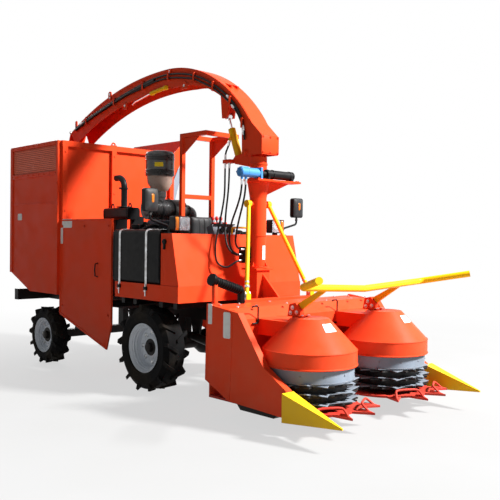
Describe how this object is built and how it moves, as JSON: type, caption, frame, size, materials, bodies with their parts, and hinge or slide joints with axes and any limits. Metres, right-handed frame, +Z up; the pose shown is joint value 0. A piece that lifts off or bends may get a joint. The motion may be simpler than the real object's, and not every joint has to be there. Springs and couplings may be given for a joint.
{
  "type": "self-propelled maize forage harvester",
  "caption": "Self-propelled maize harvester with drum header, chopper, tall pillar and arched slewing spout that blows the chopped crop back into its own hopper.",
  "frame": {"origin": "on the ground under the middle of the machine's box", "axes": "+X forward, +Y to the machine's left, +Z up"},
  "size_m": [6.15, 2.39, 3.7278],
  "materials": {
    "orange_paint": "gloss enamel",
    "black_paint": "satin enamel",
    "tyre_rubber": "matt",
    "rim_silver": "satin silver",
    "engine_iron": "painted casting",
    "black_plastic": "moulded",
    "console_grey": "satin",
    "lamp_housing": "moulded",
    "yellow_paint": "gloss enamel",
    "red_paint": "gloss enamel",
    "drum_grey": "satin enamel",
    "motor_blue": "gloss enamel",
    "rod_chrome": "polished",
    "hose_rubber": "matt"
  },
  "bodies": {
    "chassis": {"chassis_frame": "black_paint", "chassis_crossmembers": "black_paint", "chopper_housing": "orange_paint", "pillar": "orange_paint", "pillar_stays": "yellow_paint", "slew_motor": "motor_blue", "slew_gear": "black_paint", "hose_spout_a": "hose_rubber", "hose_spout_b": "hose_rubber", "hose_motor_a": "hose_rubber", "hose_motor_b": "hose_rubber", "front_axle": "black_paint", "rear_axle": "black_paint", "engine": "engine_iron", "platform": "orange_paint", "front_cowl": "orange_paint", "engine_side_panels": "orange_paint", "fuel_tank": "black_plastic", "oil_tank": "black_plastic", "air_cleaner": "black_plastic", "muffler": "black_paint", "hopper_floor": "orange_paint", "hopper_right_wall": "orange_paint", "hopper_left_wall": "orange_paint", "hopper_front_wall": "orange_paint", "gate_beam": "orange_paint", "roll_cage": "orange_paint", "seat": "black_plastic", "console": "console_grey", "headlamps": "lamp_housing", "mirrors": "black_plastic"},
    "gate": {"hopper_gate": "orange_paint"},
    "front_wheel_right": {"tyre_front_right": "tyre_rubber", "rim_front_right": "rim_silver"},
    "front_wheel_left": {"tyre_front_left": "tyre_rubber", "rim_front_left": "rim_silver"},
    "knuckle_right": {"knuckle_right": "black_paint"},
    "knuckle_left": {"knuckle_left": "black_paint"},
    "rear_wheel_right": {"tyre_rear_right": "tyre_rubber", "rim_rear_right": "rim_silver"},
    "rear_wheel_left": {"tyre_rear_left": "tyre_rubber", "rim_rear_left": "rim_silver"},
    "header": {"header_back": "orange_paint", "header_sides": "orange_paint", "dividers": "yellow_paint", "header_pan": "red_paint", "drum_hoods": "orange_paint", "push_bar": "yellow_paint", "header_skids": "black_paint"},
    "drum_right": {"drum_right": "drum_grey"},
    "drum_left": {"drum_left": "drum_grey"},
    "lift_barrels": {"lift_barrels": "black_paint"},
    "lift_rods": {"lift_rods": "rod_chrome"},
    "turret": {"turret": "orange_paint", "hose_spout_upper": "hose_rubber"},
    "spout": {"spout_sides": "orange_paint", "spout_top": "orange_paint"},
    "flap": {"spout_flap": "orange_paint"},
    "spout_barrel": {"spout_barrel": "yellow_paint"},
    "spout_rod": {"spout_rod": "rod_chrome"}
  },
  "joints": [
    {"name": "front_wheel_right_spin", "type": "hinge", "parent": "chassis", "child": "front_wheel_right", "pos_m": [0.195, -0.8, 0.474], "axis": [0, 1, 0], "continuous": true},
    {"name": "front_wheel_left_spin", "type": "hinge", "parent": "chassis", "child": "front_wheel_left", "pos_m": [0.195, 0.8, 0.474], "axis": [0, 1, 0], "continuous": true},
    {"name": "steer_right", "type": "hinge", "parent": "chassis", "child": "knuckle_right", "pos_m": [-2.083, -0.64, 0.373], "axis": [0, 0, 1], "range_deg": [-30, 30]},
    {"name": "steer_left", "type": "hinge", "parent": "chassis", "child": "knuckle_left", "pos_m": [-2.083, 0.64, 0.373], "axis": [0, 0, 1], "range_deg": [-30, 30]},
    {"name": "rear_wheel_right_spin", "type": "hinge", "parent": "knuckle_right", "child": "rear_wheel_right", "pos_m": [-2.083, -0.805, 0.373], "axis": [0, 1, 0], "continuous": true},
    {"name": "rear_wheel_left_spin", "type": "hinge", "parent": "knuckle_left", "child": "rear_wheel_left", "pos_m": [-2.083, 0.805, 0.373], "axis": [0, 1, 0], "continuous": true},
    {"name": "gate_swing", "type": "hinge", "parent": "chassis", "child": "gate", "pos_m": [-3.011, 0, 2.92], "axis": [0, 1, 0], "range_deg": [0, 80]},
    {"name": "header_lift", "type": "hinge", "parent": "chassis", "child": "header", "pos_m": [0.885, 0, 0.85], "axis": [0, -1, 0], "range_deg": [0, 8]},
    {"name": "lift_barrel_swing", "type": "hinge", "parent": "chassis", "child": "lift_barrels", "pos_m": [0.455, 0, 0.6], "axis": [0, -1, 0], "range_deg": [0, 4.77]},
    {"name": "lift_rod_slide", "type": "slide", "parent": "lift_barrels", "child": "lift_rods", "axis": [0.9874, 0, -0.1584], "range_m": [0, 0.04221]},
    {"name": "drum_right_spin", "type": "hinge", "parent": "header", "child": "drum_right", "pos_m": [2.282, -0.57, 0.3], "axis": [0, 0, 1], "continuous": true},
    {"name": "drum_left_spin", "type": "hinge", "parent": "header", "child": "drum_left", "pos_m": [2.282, 0.57, 0.3], "axis": [0, 0, 1], "continuous": true},
    {"name": "spout_slew", "type": "hinge", "parent": "chassis", "child": "turret", "pos_m": [1.006, 0, 2.305], "axis": [0, 0, 1], "range_deg": [-10, 100]},
    {"name": "spout_lift", "type": "hinge", "parent": "turret", "child": "spout", "pos_m": [0.931, 0, 2.61], "axis": [0, 1, 0], "range_deg": [0, 20]},
    {"name": "spout_barrel_swing", "type": "hinge", "parent": "turret", "child": "spout_barrel", "pos_m": [0.709, 0, 2.545], "axis": [0, 1, 0], "range_deg": [0, 19.65]},
    {"name": "spout_rod_slide", "type": "slide", "parent": "spout_barrel", "child": "spout_rod", "axis": [-0.3667, 0, 0.9303], "range_m": [0, 0.08059]},
    {"name": "flap_swing", "type": "hinge", "parent": "spout", "child": "flap", "pos_m": [-2.7692, 0, 3.177], "axis": [0, 1, 0], "range_deg": [-15, 45]}
  ],
  "couplings": [
    {"joint": "steer_left", "follows": "steer_right", "ratio": 1},
    {"joint": "drum_left_spin", "follows": "drum_right_spin", "ratio": -1},
    {"joint": "lift_barrel_swing", "follows": "header_lift", "ratio": 0.58945},
    {"joint": "lift_rod_slide", "follows": "header_lift", "m_per_rad": 0.29873},
    {"joint": "spout_barrel_swing", "follows": "spout_lift", "ratio": 0.98},
    {"joint": "spout_rod_slide", "follows": "spout_lift", "m_per_rad": 0.22944}
  ]
}
